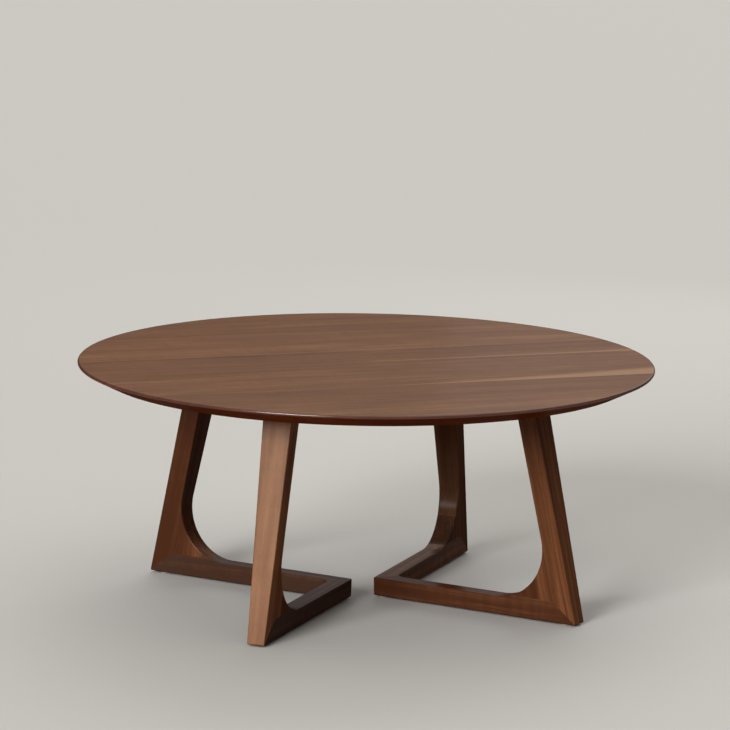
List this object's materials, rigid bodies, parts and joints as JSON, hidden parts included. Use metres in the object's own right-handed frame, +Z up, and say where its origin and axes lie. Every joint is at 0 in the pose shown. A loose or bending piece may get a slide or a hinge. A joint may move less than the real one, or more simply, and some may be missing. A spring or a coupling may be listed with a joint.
{
  "type": "round tea table",
  "caption": "Low round tea table with an edge-glued walnut top, bevelled under its rim, on V-shaped bases of slanting legs and floor rails.",
  "frame": {"origin": "on the floor, under the middle of the top", "axes": "+Z up, +X along the boards of the top and through the inner corners of both bases, +Y across the boards"},
  "size_m": [0.9999, 1, 0.42],
  "materials": {
    "top_boards": "satin oiled walnut",
    "legs": "satin oiled walnut",
    "rails": "satin oiled walnut",
    "corner_blocks": "satin oiled walnut",
    "dowel_wood": "plain beech",
    "plate_steel": "black powder coat",
    "bolt_steel": "bright zinc",
    "insert_brass": "plain brass",
    "glide_felt": "beige pressed felt"
  },
  "bodies": {
    "root": {"top_back_board_1": "top_boards", "top_back_board_2": "top_boards", "top_back_board_3": "top_boards", "top_back_board_4": "top_boards", "top_back_board_5": "top_boards", "top_front_board_1": "top_boards", "top_front_board_2": "top_boards", "top_front_board_3": "top_boards", "top_front_board_4": "top_boards", "top_front_board_5": "top_boards", "right_front_leg": "legs", "right_back_leg": "legs", "left_back_leg": "legs", "left_front_leg": "legs", "right_front_rail": "rails", "right_back_rail": "rails", "left_back_rail": "rails", "left_front_rail": "rails", "right_front_corner_block": "corner_blocks", "right_back_corner_block": "corner_blocks", "left_back_corner_block": "corner_blocks", "left_front_corner_block": "corner_blocks", "right_front_leg_dowels": "dowel_wood", "right_back_leg_dowels": "dowel_wood", "left_back_leg_dowels": "dowel_wood", "left_front_leg_dowels": "dowel_wood", "right_front_fixing_plate": "plate_steel", "right_back_fixing_plate": "plate_steel", "left_back_fixing_plate": "plate_steel", "left_front_fixing_plate": "plate_steel", "right_front_foot_glide": "glide_felt", "right_back_foot_glide": "glide_felt", "left_back_foot_glide": "glide_felt", "left_front_foot_glide": "glide_felt", "right_mitre_key": "dowel_wood", "right_corner_glide": "glide_felt", "left_mitre_key": "dowel_wood", "left_corner_glide": "glide_felt", "plate_bolts": "bolt_steel", "top_inserts": "insert_brass", "plate_screws": "bolt_steel"}
  },
  "joints": []
}
